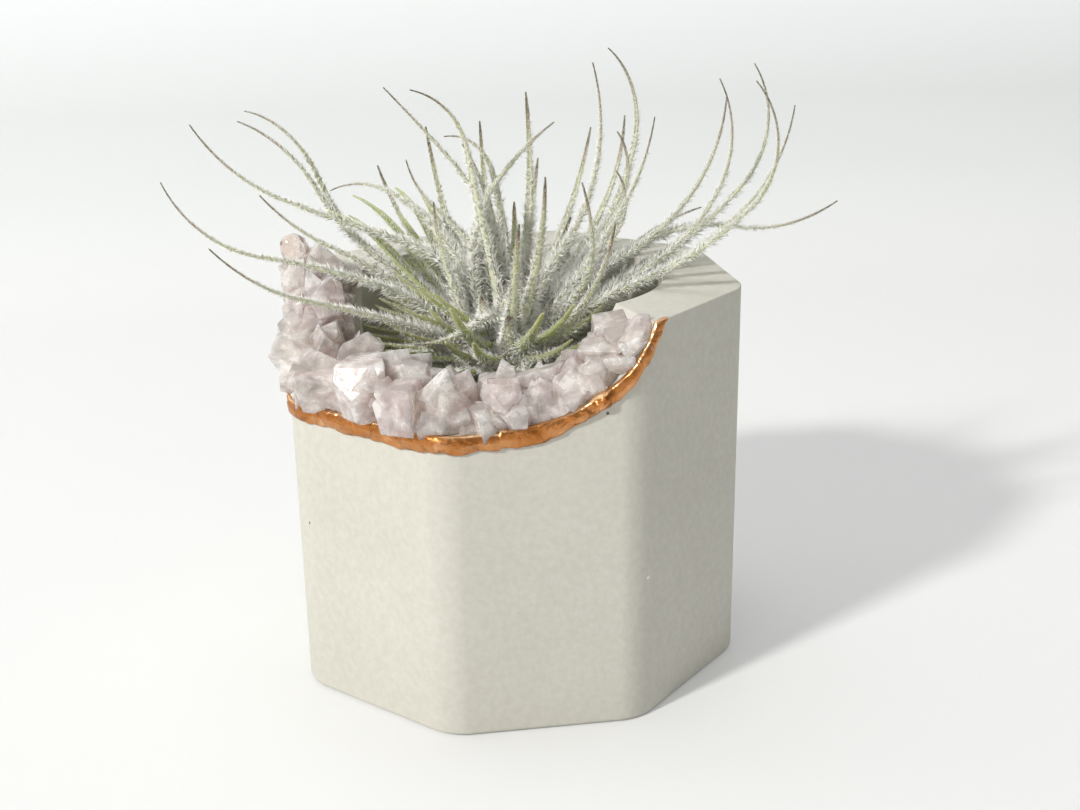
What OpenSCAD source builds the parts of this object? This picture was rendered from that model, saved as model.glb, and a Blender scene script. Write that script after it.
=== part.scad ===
// Eight-sided concrete planter with a broken rim. The break is edged with copper and bedded
// with quartz chips, and an air plant stands in the hollow and lifts out of it.
// Millimetres. The origin is the centre of the foot, -Y is the front and +Z is up.

/* [Pot] */
// Distance across the flats of the eight-sided pot
pot_af = 76; // [66:1:110]
// Height of the pot
pot_h = 67; // [55:1:100]
// Radius of the upright edges
edge_r = 8; // [3:0.5:12]
// Width of the rim's flat top
rim_w = 11; // [8:0.5:14]
// Thickness of the floor under the hollow
floor_t = 14; // [8:1:24]
// How far the hollow draws in from rim to floor
draft = 8; // [4:0.5:12]

/* [Broken rim] */
// Direction that the break faces, in degrees
break_az = -130; // [-180:5:180]
// Angle from that direction to each rounded end of the break
break_turn = 55; // [45:1:65]
// Radius of the two rounded ends
break_r = 27; // [22:0.5:30]
// Height of their centres above the rim
break_rise = 12; // [8:0.5:16]
// Sideways distance of their centres from the pot's axis
break_shift = 16; // [10:0.5:20]
// Extra depth of the level stretch between them
break_dip = 0.5; // [0.3:0.1:2]

/* [Copper edge] */
// Width of the copper band down the face
copper_w = 3; // [1.5:0.25:5]
// Thickness of the copper band
copper_t = 0.6; // [0.3:0.1:1.2]

/* [Quartz] */
// Size of one quartz chip
chip = 7.5; // [5:0.25:10]
// Reach of the outer chips beyond the flat faces
chip_proud = 1; // [0:0.25:2]
// Space between neighbouring chips
chip_gap = 0.2; // [0.1:0.05:0.5]
// Diameter of the rounded pebble on the heap
pebble_d = 6; // [4:0.5:8]

/* [Air plant] */
// Radius of the plant's heart, where all leaves start
heart_r = 8; // [6:0.5:9]
// Height of the heart's centre above the floor of the break
heart_lift = 0; // [0:0.5:4]
// Radius of the stem below the heart
stem_r = 4.5; // [3:0.25:6]
// Radius of the stem at its foot
stem_foot_r = 3; // [2:0.25:4]
// Number of dry leaf sheaths down the stem
sheaths = 7; // [3:1:12]
// Step of each sheath beyond the stem
sheath_step = 0.7; // [0.3:0.1:1.2]
// Length of the longest possible leaf
leaf_len = 70; // [50:1:90]
// Width of a leaf at its widest
leaf_w = 3; // [2:0.1:4]
// Thickness of a leaf at its base
leaf_t = 1.1; // [0.6:0.1:1.6]
// Space that the line of sight from the heart leaves over the rim and the inner chips
leaf_clear = 1; // [0.5:0.25:3]
// Reach of the hair tufts beyond a leaf's edges
tuft = 0.5; // [0.2:0.1:1]
// Space between a resting piece and its seat
seat_gap = 0.15; // [0.1:0.05:0.3]

/* [Hidden] */
$fn = 96;
past = 1;
sides = 8;
half_turn = 180 / sides;
full_step = 360 / sides;

// Levels, from the foot up
break_z = pot_h + break_rise - break_r - break_dip;
heart_z = break_z + heart_lift;
stem_foot_z = floor_t + seat_gap;

// The hollow: a round well that draws in towards its floor
well_mouth_r = pot_af / 2 - rim_w;
well_floor_r = well_mouth_r - draft;

// The quartz bed runs round the break in columns, and in rings from the face inwards
columns = 12;
bed_from_az = -58;
bed_to_az = -200;
ring_inset_shares = [0, 0.65, 1.2, 1.65];
ring_height_shares = [1, 1.15, 0.85];
heap_shares = [0.35, 0.6, 0.8, 0.9, 0.95, 1, 1.2, 1.2, 1.4, 1.8, 1.5, 0.9];
layer_share = 1.25;
wobble_share = 0.17;
dig_share = 0.9;
trim_shares = [[0.7, 1.06, 0.92], [1.08, 0.74, 0.98], [0.88, 1, 0.78]];
trim_depth_share = 0.54;
turn_count = 400;
turns = rands(0, 360, turn_count, 17);
wobbles = rands(-1, 1, turn_count, 29);

// Copper skin: its stretch, its section from the face outwards and how ragged it is
copper_from_az = -56;
copper_to_az = -204;
copper_steps = 74;
copper_seat = 0.03;
copper_ragged_share = 0.2;
copper_section_shares = [[0, 1], [0.8, 1], [1, 0.4], [0.6, 0.02], [0, 0]];

// Leaf outline: place along the leaf, half width and thickness, all as shares
leaf_steps = 24;
leaf_place_shares = [0, 0.2, 0.45, 1];
leaf_width_shares = [0.55, 1, 0.78, 0.2];
leaf_thick_shares = [1, 0.9, 0.6, 0.35];
leaf_section_shares = [[0, -0.1], [1, 0.5], [0.55, -0.55], [0, -1], [-0.55, -0.55], [-1, 0.5]];

// Hair tufts stand off a leaf's edges from here on, as shares of the leaf's length and of a tuft
tuft_shares = [[0, 0], [0.18, 0], [0.3, 1], [0.6, 0.8], [1, 0.3]];

// One row for each leaf: compass angle at its base and tip, climb of its seat on the heart, its
// own climb at the base and at a third, counted from the line of sight out of the pot, its climb
// at two thirds and at the tip, counted from the level, and its length as a share
leaf_angles_and_length_shares = [
    [198, 190, 14, 35, 1, 14, 70, 0.89],
    [176, 172, 56, 53, -5, 22, 60, 0.89],
    [214, 206, 8, 17, -1, 20, 50, 0.79],
    [162, 154, 38, 19, 7, 60, 18, 0.80],
    [150, 142, 26, 1, -11, 66, 6, 0.87],
    [174, 166, 26, 29, 9, 26, 50, 0.63],
    [128, 134, 52, 29, -3, 16, -24, 0.70],
    [164, 176, 100, 53, 47, 50, 48, 0.66],
    [222, 200, 70, 59, 51, 80, 14, 0.66],
    [160, 176, 76, 37, 25, 40, 80, 0.46],
    [118, 150, 74, 49, 43, 72, 56, 0.44],
    [84, 150, 58, 37, 39, 72, -10, 0.54],
    [60, 58, 62, 19, 31, 90, 102, 0.57],
    [18, 24, 124, 65, 45, 46, 30, 0.59],
    [-18, 0, 66, 25, 17, 82, 106, 0.67],
    [40, 26, 34, -7, 1, 74, 144, 0.87],
    [50, 36, 18, 5, -9, 54, 88, 0.70],
    [24, 16, 58, -5, -13, 54, 130, 0.50],
    [-14, -14, 48, 7, 15, 64, 82, 0.60],
    [32, 24, 40, 1, -1, 56, 130, 0.60],
    [-44, -34, 44, -3, 5, 92, 110, 0.46],
    [-4, -6, 34, -3, -13, 64, 118, 0.84],
    [4, 2, 54, 1, -15, 54, 88, 0.77],
    [2, -2, 20, 5, -13, 50, 124, 0.94],
    [-18, -12, 22, 3, -13, 46, 84, 0.86],
    [-34, -24, 30, 2, -15, 47, 132, 0.94],
    [12, 6, 36, 5, -12, -12, 32, 0.90],
    [26, 18, 24, 3, -9, 30, 10, 0.57],
    [64, 84, 66, 39, 45, 82, 74, 0.29],
    [74, 62, 44, -9, -3, 60, 70, 0.50],
    [34, 34, 62, 13, 9, 56, 64, 0.29],
    [236, 216, 64, 13, -35, 0, 12, 0.33],
    [90, 94, 24, -7, 3, 64, 80, 0.63],
    [112, 108, 36, -1, 3, 60, 70, 0.60],
    [126, 122, 24, 3, -5, 44, 60, 0.57],
    [62, 54, 22, 1, -9, 46, 66, 0.69],
    [-72, -64, 50, 35, 41, 76, 90, 0.43],
    [-92, -88, 40, 31, 35, 66, 60, 0.37],
    [-58, -50, 22, -7, 3, 60, 80, 0.46],
    [200, 204, 36, 41, 45, 76, 90, 0.37]
];
leaves = len(leaf_angles_and_length_shares);

rings = ["outer", "middle", "inner"];
quarters = ["right", "front", "left", "back"];
quartz_names = [for (r = rings) for (q = quarters) str("quartz_", r, "_", q)];
leaf_names = [for (i = [1 : leaves]) str("leaf_", i < 10 ? "0" : "", i)];

// Directions and places
function compass(az) = [cos(az), sin(az)];
function at_z(p, z) = [p[0], p[1], z];
function face_reach(az, inset) = (pot_af / 2 - inset) / cos(az - full_step * round(az / full_step));
function shares_at(place, shares) =
    lookup(place, [for (i = [0 : len(shares) - 1]) [leaf_place_shares[i], shares[i]]]);

// Outline of the pot: flat sides joined by round edges
edge_centre = pot_af / 2 - edge_r;
module outline() {
    for (k = [0 : sides / 2 - 1])
        rotate(k * full_step)
            square([pot_af, 2 * edge_centre * tan(half_turn)], center = true);
    for (k = [0 : sides - 1])
        rotate(half_turn + k * full_step)
            translate([edge_centre / cos(half_turn), 0])
                circle(edge_r);
}

// The space that the break takes from the rim: a level middle between two rounded ends
module break_space(grow) {
    apex = break_shift / sin(break_turn) * compass(break_az);
    for (side = [-1, 1])
        rotate(break_az + side * break_turn)
            translate([0, -side * break_shift, pot_h + break_rise])
                rotate([0, 90, 0])
                    cylinder(r = break_r + grow, h = pot_af);
    translate([0, 0, break_z - grow])
        linear_extrude(pot_h + break_rise)
            polygon([
                apex,
                apex + pot_af * compass(break_az - break_turn),
                apex + 2 * pot_af * compass(break_az),
                apex + pot_af * compass(break_az + break_turn)
            ]);
}

module concrete_pot() {
    color([0.84, 0.83, 0.79])
        difference() {
            linear_extrude(pot_h)
                outline();
            translate([0, 0, floor_t])
                cylinder(r1 = well_floor_r, r2 = well_mouth_r, h = pot_h - floor_t);
            translate([0, 0, pot_h - past])
                cylinder(r = well_mouth_r, h = 2 * past);
            break_space(0);
        }
}

// Height of the break's floor under a point on the wall
function end_floor(p, side, grow) =
    let (az = break_az + side * break_turn)
    let (off = p * compass(az + 90) + side * break_shift)
    let (r = break_r + grow)
    abs(off) < r && p * compass(az) > 0 ? pot_h + break_rise - sqrt(pow(r, 2) - pow(off, 2)) : pot_h;
function in_middle(p) =
    let (from_apex = p - break_shift / sin(break_turn) * compass(break_az))
    from_apex * compass(break_az) > norm(from_apex) * cos(break_turn);
function bed_floor(p, grow) =
    in_middle(p) ? break_z - grow : min(pot_h, end_floor(p, -1, grow), end_floor(p, 1, grow));

// Distance from the axis to the outline, round edges included
function outline_reach(az) =
    let (from_flat = az - full_step * round(az / full_step))
    let (flat_turn = atan(edge_centre * tan(half_turn) / (pot_af / 2)))
    let (from_edge = abs(from_flat) - half_turn)
    let (centre_r = edge_centre / cos(half_turn))
    abs(from_flat) < flat_turn ? pot_af / 2 / cos(from_flat) :
    centre_r * cos(from_edge) + sqrt(pow(edge_r, 2) - pow(centre_r * sin(from_edge), 2));

// A thin copper skin that follows the break round the faces, with a ragged lower edge
function copper_ring(i) =
    let (az = copper_from_az + (copper_to_az - copper_from_az) * i / copper_steps)
    let (r = outline_reach(az) + copper_seat)
    let (high = bed_floor(r * compass(az), 0) - copper_seat)
    let (ragged = 1 + copper_ragged_share * wobbles[i])
    let (low = min(high - copper_t / 2, bed_floor(r * compass(az), copper_w * ragged)))
    let (t = copper_t * (1 + copper_ragged_share * wobbles[i + copper_steps]))
    [for (q = copper_section_shares) at_z((r + q[0] * t) * compass(az), low + q[1] * (high - low))];
module copper_edge() {
    m = len(copper_section_shares);
    color([0.75, 0.43, 0.2])
        skin([for (i = [0 : copper_steps]) each copper_ring(i)], m, copper_steps);
}

// A closed tube through rings of m points each
module skin(points, m, steps) {
    walls = [for (i = [0 : steps - 1]) for (q = [0 : m - 1])
        [i * m + q, i * m + (q + 1) % m, (i + 1) * m + (q + 1) % m, (i + 1) * m + q]];
    triangles = [for (f = walls) each [[f[0], f[1], f[2]], [f[0], f[2], f[3]]]];
    first = [for (q = [m - 1 : -1 : 0]) q];
    last = [for (q = [0 : m - 1]) steps * m + q];
    polyhedron(points, concat([first, last], triangles), convexity = 4);
}

// Shared corners of the bed's cells, moved a little at random so that no two chips are alike
bed_step = (bed_to_az - bed_from_az) / columns;
function wobble(n) = wobbles[n % turn_count] * wobble_share;
function bed_corner(i, j) =
    let (n = 7 * i + 31 * j)
    let (az = bed_from_az + bed_step * (i + (i == 0 || i == columns ? 0 : 2 * wobble(n))))
    let (inset = ring_inset_shares[j] * chip - chip_proud + wobble(n + 3) * chip)
    face_reach(az, inset) * compass(az);
function bed_cell(i, j) =
    [bed_corner(i, j), bed_corner(i + 1, j), bed_corner(i + 1, j + 1), bed_corner(i, j + 1)];
function middle(c) = (c[0] + c[1] + c[2] + c[3]) / 4;
function heap(i, j) = heap_shares[i] * ring_height_shares[j] * chip;
function layers(i, j) = max(1, round(heap(i, j) / (layer_share * chip)));

// One chip: its cell, cut back to a shard by blocks that are turned at random
module quartz_chip(i, j, k) {
    cell = bed_cell(i, j);
    centre = middle(cell);
    floor_z = bed_floor(centre, 0);
    layer_h = heap(i, j) / layers(i, j);
    low = k == 0 ? floor_z - dig_share * chip : floor_z + k * layer_h;
    high = floor_z + (k + 1) * layer_h - chip_gap;
    n = 13 * i + 57 * j + 101 * k;
    shrink = 1 - chip_gap / chip * 1.5;
    intersection() {
        translate([0, 0, low])
            linear_extrude(high - low)
                polygon([for (p = cell) centre + shrink * (p - centre)]);
        for (t = [0 : len(trim_shares) - 1])
            translate(at_z(centre, high - trim_depth_share * layer_h))
                rotate([for (a = [0 : 2]) turns[(n + 5 * t + a) % turn_count]])
                    cube(trim_shares[t] * chip, center = true);
    }
}

module quartz(j, quarter) {
    per = columns / len(quarters);
    color([0.93, 0.84, 0.85])
        intersection() {
            union() {
                for (i = [quarter * per : (quarter + 1) * per - 1])
                    for (k = [0 : layers(i, j) - 1])
                        quartz_chip(i, j, k);
            }
            break_space(-seat_gap);
        }
}

module quartz_pebble() {
    i = columns - 1;
    centre = middle(bed_cell(i, 0));
    color([0.95, 0.88, 0.88])
        translate(at_z(centre, bed_floor(centre, 0) + heap(i, 0) + pebble_d / 2))
            sphere(d = pebble_d);
}

// A stem wrapped in dry leaf sheaths, standing on the floor of the hollow, with a round heart
module plant_stem() {
    stem_top = heart_z - heart_r / 2;
    sheath_h = (stem_top - stem_foot_z) / sheaths;
    color([0.55, 0.5, 0.4]) {
        translate([0, 0, heart_z])
            sphere(r = heart_r);
        rotate_extrude()
            polygon(concat(
                [[0, stem_foot_z]],
                [for (i = [0 : sheaths - 1]) each
                    let (r = stem_foot_r + (stem_r - stem_foot_r) * i / sheaths)
                    [[r, stem_foot_z + i * sheath_h], [r + sheath_step, stem_foot_z + (i + 1) * sheath_h]]],
                [[0, stem_top]]
            ));
    }
}

// Line of sight out of the pot: over the inner chips where the rim is broken, or over the rim
function over_break(az) = cos(az - (bed_from_az + bed_to_az) / 2) > cos((bed_from_az - bed_to_az) / 2);
function sight_climb(az) =
    over_break(az) ?
    atan2(break_z + heap_shares[columns / 2] * ring_height_shares[2] * chip + leaf_clear - heart_z,
          pot_af / 2 + chip_proud - ring_inset_shares[3] * chip - heart_r) :
    atan2(pot_h + leaf_clear - heart_z, well_mouth_r - heart_r);

// Path of a leaf: it steps off the heart and its climb changes evenly between the four given
function first_climb(row) = sight_climb(row[0]) + row[3];
function climb(row, s) =
    lookup(s, [[0, first_climb(row)], [1 / 3, sight_climb(row[0]) + row[4]], [2 / 3, row[5]], [1, row[6]]]);
function heading(row, s) =
    let (az = row[0] + (row[1] - row[0]) * s)
    let (up = climb(row, s))
    [cos(up) * cos(az), cos(up) * sin(az), sin(up)];
function walk(row, i, p) =
    i == leaf_steps ? [p] :
    concat([p], walk(row, i + 1, p + row[7] * leaf_len / leaf_steps * heading(row, (i + 0.5) / leaf_steps)));
function leaf_start(row) =
    let (tilt = abs(first_climb(row) - row[2]))
    let (off = heart_r + seat_gap + sin(tilt) * leaf_width_shares[0] * leaf_w / 2)
    [0, 0, heart_z] + off * [cos(row[2]) * cos(row[0]), cos(row[2]) * sin(row[0]), sin(row[2])];
function leaf_ring(row, i, p) =
    let (s = i / leaf_steps)
    let (az = row[0] + (row[1] - row[0]) * s)
    let (along = heading(row, s))
    let (across = [-sin(az), cos(az), 0])
    let (lift = cross(along, across))
    let (ragged = lookup(s, tuft_shares) * tuft * (i % 2 == 0 ? -0.5 : 0.5))
    let (w = shares_at(s, leaf_width_shares) * leaf_w / 2 + ragged)
    let (t = shares_at(s, leaf_thick_shares) * leaf_t / 2)
    [for (q = leaf_section_shares) p + q[0] * w * across + q[1] * t * lift];

module leaf(row) {
    path = walk(row, 0, leaf_start(row));
    points = [for (i = [0 : leaf_steps]) each leaf_ring(row, i, path[i])];
    color([0.7, 0.73, 0.64])
        skin(points, len(leaf_section_shares), leaf_steps);
}

concrete_pot();
copper_edge();
quartz_pebble();
plant_stem();
for (j = [0 : len(rings) - 1])
    for (q = [0 : len(quarters) - 1])
        quartz(j, q);
for (i = [0 : leaves - 1])
    leaf(leaf_angles_and_length_shares[i]);
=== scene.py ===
# %% [markdown]
# # A concrete planter with a broken rim
# This object is a small eight-sided pot cast in pale concrete. Part of its rim was broken away,
# the break was edged with copper paint and bedded with rose quartz chips, and a silvery air plant
# stands in its hollow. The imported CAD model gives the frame, and each piece below is fitted to it.

# %% Load the frame
import math

import bpy
import numpy as np
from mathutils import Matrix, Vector, kdtree, noise


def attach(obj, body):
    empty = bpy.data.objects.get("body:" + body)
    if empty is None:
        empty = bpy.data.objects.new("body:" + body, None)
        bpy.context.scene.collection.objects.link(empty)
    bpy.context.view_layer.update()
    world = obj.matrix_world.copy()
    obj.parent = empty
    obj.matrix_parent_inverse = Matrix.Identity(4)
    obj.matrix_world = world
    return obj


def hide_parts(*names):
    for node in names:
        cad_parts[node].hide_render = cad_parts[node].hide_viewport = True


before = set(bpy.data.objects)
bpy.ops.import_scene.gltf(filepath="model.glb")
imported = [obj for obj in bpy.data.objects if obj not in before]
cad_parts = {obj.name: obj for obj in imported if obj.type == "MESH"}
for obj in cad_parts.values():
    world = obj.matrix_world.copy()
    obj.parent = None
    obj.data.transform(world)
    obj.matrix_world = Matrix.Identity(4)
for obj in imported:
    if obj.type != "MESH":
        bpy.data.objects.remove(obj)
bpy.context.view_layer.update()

MM = 0.001

# %% [markdown]
# ## Helpers
# Operators act on whatever is selected, so everything is deselected before a primitive is added,
# and faces and edges are selected in code by where they lie. Long pieces such as leaves and the
# copper band are all a grid rolled into a tube, so one helper makes them, and its ends are closed.

# %% Helpers for adding and shaping pieces
SAME_PLACE = 1e-7


def deselect():
    if bpy.context.object and bpy.context.object.mode != "OBJECT":
        bpy.ops.object.mode_set(mode="OBJECT")
    bpy.ops.object.select_all(action="DESELECT")


def named(name):
    piece = bpy.context.object
    piece.name = name
    piece.data.name = name
    return piece


def activate(piece):
    deselect()
    piece.select_set(True)
    bpy.context.view_layer.objects.active = piece


def settle(piece):
    """Puts the object's place, turn and size into its mesh."""
    activate(piece)
    bpy.ops.object.transform_apply(location=True, rotation=True, scale=True)


def apply_modifier(piece, kind, **settings):
    activate(piece)
    modifier = piece.modifiers.new(kind.title(), kind)
    for key, value in settings.items():
        setattr(modifier, key, value)
    bpy.ops.object.modifier_apply(modifier=modifier.name)


def bevel_edges(piece, wanted, offset, segments):
    """Rounds the edges for which wanted(first corner, second corner) is true."""
    activate(piece)
    bpy.ops.object.mode_set(mode="EDIT")
    bpy.ops.mesh.select_mode(type="EDGE")
    bpy.ops.mesh.select_all(action="DESELECT")
    bpy.ops.object.mode_set(mode="OBJECT")
    corners = [vertex.co.copy() for vertex in piece.data.vertices]
    for edge in piece.data.edges:
        edge.select = wanted(corners[edge.vertices[0]], corners[edge.vertices[1]])
    bpy.ops.object.mode_set(mode="EDIT")
    bpy.ops.mesh.bevel(offset=offset, segments=segments, affect="EDGES")
    bpy.ops.object.mode_set(mode="OBJECT")


def smooth(piece, degrees=35):
    activate(piece)
    bpy.ops.object.shade_smooth_by_angle(angle=math.radians(degrees))


def corners_of(piece):
    """The places of a piece's corners, one row each."""
    flat = np.empty(len(piece.data.vertices) * 3)
    piece.data.vertices.foreach_get("co", flat)
    return flat.reshape(-1, 3)


def place_corners(piece, corners):
    piece.data.vertices.foreach_set("co", corners.reshape(-1))


def finish_edit():
    """Turns all faces of the mesh in edit mode outwards, and leaves edit mode."""
    bpy.ops.mesh.select_all(action="SELECT")
    bpy.ops.mesh.normals_make_consistent(inside=False)
    bpy.ops.object.mode_set(mode="OBJECT")


def closed_tube(name, rings, around, place):
    """A grid rolled into a tube: place(shares, turns) gives the points at shares along it."""
    deselect()
    bpy.ops.mesh.primitive_grid_add(x_subdivisions=rings, y_subdivisions=around, size=1, calc_uvs=True)
    tube = named(name)
    flat = corners_of(tube) + 0.5
    place_corners(tube, place(flat[:, 0], flat[:, 1]))
    bpy.ops.object.mode_set(mode="EDIT")
    bpy.ops.mesh.select_all(action="SELECT")
    bpy.ops.mesh.remove_doubles(threshold=SAME_PLACE)
    bpy.ops.mesh.fill_holes(sides=0)
    finish_edit()
    return tube


def dress(piece, material, body, *nodes, slot=None):
    """Gives a finished piece its material, body and CAD nodes. The slot argument is not used."""
    piece.data.materials.clear()
    piece.data.materials.append(material)
    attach(piece, body)
    if nodes:
        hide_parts(*nodes)
    triangles = sum(len(face.vertices) - 2 for face in piece.data.polygons)
    print(piece.name, "rides on", body, "with", triangles, "triangles")


# %% [markdown]
# ## How the finishes are made
# A real surface varies from place to place. A picture could show that, but it would need seams and
# would blur up close, so each finish is a small net of nodes instead: noise in the object's own
# coordinates, colour ramps and bumps. The class below adds such nodes to one Principled shader, so
# that each finish reads as a short list of what its surface has.

# %% Helpers for materials
class Finish:
    """A node material that is built up step by step around one Principled shader."""

    def __init__(self, name, **sockets):
        self.material = bpy.data.materials.new(name)
        self.material.use_nodes = True
        self.tree = self.material.node_tree
        self.shader = self.tree.nodes["Principled BSDF"]
        self.place = self.tree.nodes.new("ShaderNodeTexCoord")
        for key, value in sockets.items():
            self.shader.inputs[key.replace("_", " ")].default_value = value

    def node(self, kind, links=(), **settings):
        made = self.tree.nodes.new("ShaderNode" + kind)
        for key, value in settings.items():
            if hasattr(made, key):
                setattr(made, key, value)
            else:
                made.inputs[key.replace("_", " ")].default_value = value
        for source, socket in links:
            self.tree.links.new(source, made.inputs[socket])
        return made

    def feed(self, value, socket):
        """Links a node's output to the socket, or writes a number or colour into it."""
        if isinstance(value, bpy.types.NodeSocket):
            self.tree.links.new(value, socket)
        else:
            socket.default_value = (*value, 1) if isinstance(value, tuple) else value

    def part(self, output, axis):
        """One of X, Y and Z of the object's coordinates or of its UV map."""
        return self.node("SeparateXYZ", links=[(self.place.outputs[output], "Vector")]).outputs[axis]

    def noise(self, scale, detail=4.0, roughness=0.5, distortion=0.0):
        made = self.node("TexNoise", links=[(self.place.outputs["Object"], "Vector")], Scale=scale,
                         Detail=detail, Roughness=roughness, Distortion=distortion)
        return made.outputs["Fac"]

    def ramp(self, source, *stops):
        """Colours from (place, colour) stops. A colour given as one number is a grey."""
        made = self.node("ValToRGB", links=[(source, "Fac")])
        made.color_ramp.elements[0].position = stops[0][0]
        made.color_ramp.elements[1].position = stops[-1][0]
        for at, _ in stops[1:-1]:
            made.color_ramp.elements.new(at)
        for element, (_, colour) in zip(made.color_ramp.elements, stops):
            element.color = (*colour, 1) if isinstance(colour, tuple) else (colour, colour, colour, 1)
        return made.outputs["Color"]

    def mix(self, factor, first, second, blend="MIX"):
        made = self.tree.nodes.new("ShaderNodeMix")
        made.data_type = "RGBA"
        made.blend_type = blend
        self.feed(factor, made.inputs[0])
        self.feed(first, made.inputs[6])
        self.feed(second, made.inputs[7])
        return made.outputs[2]

    def math(self, operation, first, second=0.0):
        made = self.node("Math", operation=operation)
        self.feed(first, made.inputs[0])
        self.feed(second, made.inputs[1])
        return made.outputs[0]

    def bump(self, height, distance, strength=1.0, under=None):
        made = self.node("Bump", links=[(height, "Height")], Strength=strength, Distance=distance)
        if under:
            self.tree.links.new(under, made.inputs["Normal"])
        return made.outputs["Normal"]

    def set(self, **sources):
        for key, source in sources.items():
            self.tree.links.new(source, self.shader.inputs[key.replace("_", " ")])
        print(self.material.name, "is made of", len(self.tree.nodes), "nodes")


# %% [markdown]
# ## Camera
# The photograph was taken from in front, a little to the left and looking down. A camera could be
# aimed by a constraint, but then it couldn't roll, so its place, its three angles and its lens are
# those at which the pot's corners fall where they do in the photograph.

# %% Camera
CAMERA_AT = (-28.97 * MM, -235.37 * MM, 122.17 * MM)
DEGREES_ROUND, DEGREES_DOWN, DEGREES_ROLLED = 8.2968, 18.4036, 0.9242
LENS = 46.54
FILM_WIDTH = 36
NEAREST_SEEN = 0.01


def turned(degrees_round, degrees_down, degrees_rolled):
    """The camera's right, up and forward directions."""
    az, down, roll = (math.radians(d) for d in (degrees_round, degrees_down, degrees_rolled))
    level = Vector((math.cos(az), -math.sin(az), 0))
    rise = Vector((math.sin(az) * math.sin(down), math.cos(az) * math.sin(down), math.cos(down)))
    right = math.cos(roll) * level - math.sin(roll) * rise
    up = math.sin(roll) * level + math.cos(roll) * rise
    return right, up, up.cross(right)


deselect()
bpy.ops.object.camera_add(location=CAMERA_AT)
camera = bpy.context.object
camera_right, camera_up, camera_forward = turned(DEGREES_ROUND, DEGREES_DOWN, DEGREES_ROLLED)
turn = camera.rotation_euler.to_matrix()
turn.col[0], turn.col[1], turn.col[2] = camera_right, camera_up, -camera_forward
camera.rotation_euler = turn.to_euler()
camera.data.lens = LENS
camera.data.sensor_width = FILM_WIDTH
camera.data.clip_start = NEAREST_SEEN
bpy.context.scene.camera = camera
bpy.context.scene.view_settings.view_transform = "Standard"
print("camera at", [round(v, 4) for v in camera.location], "lens", camera.data.lens, "mm")

# %% [markdown]
# ## Floor and backdrop
# The pot stands on plain pale paper. A flat floor would end in a hard line, so the sheet's back
# edge is picked by its place, spun up through a quarter turn and then drawn up. The paper shines
# faintly to the camera and in reflections alone, which keeps it pale without putting more light on
# the pot, and it turns a little greyer as it rises.

# %% Floor and backdrop
FLOOR_WIDE, FLOOR_DEEP, BACKDROP_UP = 6, 3, 2
SWEEP_FROM = 0.24
SWEEP_R = 0.2
SWEEP_STEPS = 24
deselect()
bpy.ops.mesh.primitive_plane_add(size=1)
floor = named("floor")
bpy.ops.object.mode_set(mode="EDIT")
bpy.ops.mesh.select_all(action="SELECT")
bpy.ops.transform.resize(value=(FLOOR_WIDE, FLOOR_DEEP, 1))
bpy.ops.transform.translate(value=(0, SWEEP_FROM - FLOOR_DEEP / 2, 0))
bpy.ops.mesh.select_mode(type="EDGE")
bpy.ops.mesh.select_all(action="DESELECT")
bpy.ops.object.mode_set(mode="OBJECT")
for edge in floor.data.edges:
    edge.select = all(floor.data.vertices[v].co.y > SWEEP_FROM - MM for v in edge.vertices)
bpy.ops.object.mode_set(mode="EDIT")
bpy.ops.mesh.spin(steps=SWEEP_STEPS, angle=math.radians(-90), center=(0, SWEEP_FROM, SWEEP_R),
                  axis=(1, 0, 0))
bpy.ops.mesh.extrude_region_move(TRANSFORM_OT_translate={"value": (0, 0, BACKDROP_UP)})
bpy.ops.object.mode_set(mode="OBJECT")
smooth(floor)
paper = Finish("white_table", Roughness=0.8, Specular_IOR_Level=0.2, Emission_Color=(0.97, 0.985, 1, 1))
height = paper.part("Object", "Z")
rays = paper.node("LightPath").outputs
seen = paper.math("MAXIMUM", rays["Is Glossy Ray"], rays["Is Transmission Ray"])
seen = paper.math("MAXIMUM", rays["Is Camera Ray"], seen)
glow = paper.ramp(height, (0.02, 0.1), (0.055, 0.08), (0.1, 0.24))
pale = paper.ramp(height, (0.001, (0.762, 0.765, 0.768)), (0.03, (0.68, 0.70, 0.70)),
                  (0.2, (0.56, 0.58, 0.585)), (0.6, (0.68, 0.695, 0.70)))
paper.set(Base_Color=pale, Emission_Strength=paper.math("MULTIPLY", seen, glow))
floor.data.materials.append(paper.material)
print("floor reaches", round(max(v.co.z for v in floor.data.vertices), 2), "m up")

# %% [markdown]
# ## Light
# A window on the left lights the photograph. Many lamps could copy it, but one small soft lamp
# gives the bright left face, the half-lit front face and the shadow that falls to the right. The
# world's even light fills the shade, and a wide weak lamp overhead lifts what faces up.

# %% World and lamps
DAYLIGHT = (1, 1, 0.975)
DAYLIGHT_STRENGTH = 0.43
world = bpy.data.worlds.new("daylight")
bpy.context.scene.world = world
world.use_nodes = True
world.node_tree.nodes["Background"].inputs["Color"].default_value = (*DAYLIGHT, 1)
world.node_tree.nodes["Background"].inputs["Strength"].default_value = DAYLIGHT_STRENGTH


def round_lamp(name, way, distance, size, power, colour):
    """A round soft lamp that shines on the pot from the given direction."""
    way = Vector(way).normalized()
    deselect()
    bpy.ops.object.light_add(type="AREA", location=way * distance)
    lamp = bpy.context.object
    lamp.name = name
    lamp.data.shape = "DISK"
    lamp.data.size = size
    lamp.data.energy = power
    lamp.data.color = colour
    lamp.rotation_euler = way.to_track_quat("Z", "Y").to_euler()
    print(name, "shines from", [round(v, 2) for v in way])


round_lamp("window", (-0.69, -0.45, 0.56), distance=2.4, size=0.24, power=41.5,
           colour=(1, 0.985, 0.955))
round_lamp("ceiling", (0.06, 0.14, 0.98), distance=1.3, size=0.9, power=3.2, colour=DAYLIGHT)

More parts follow.
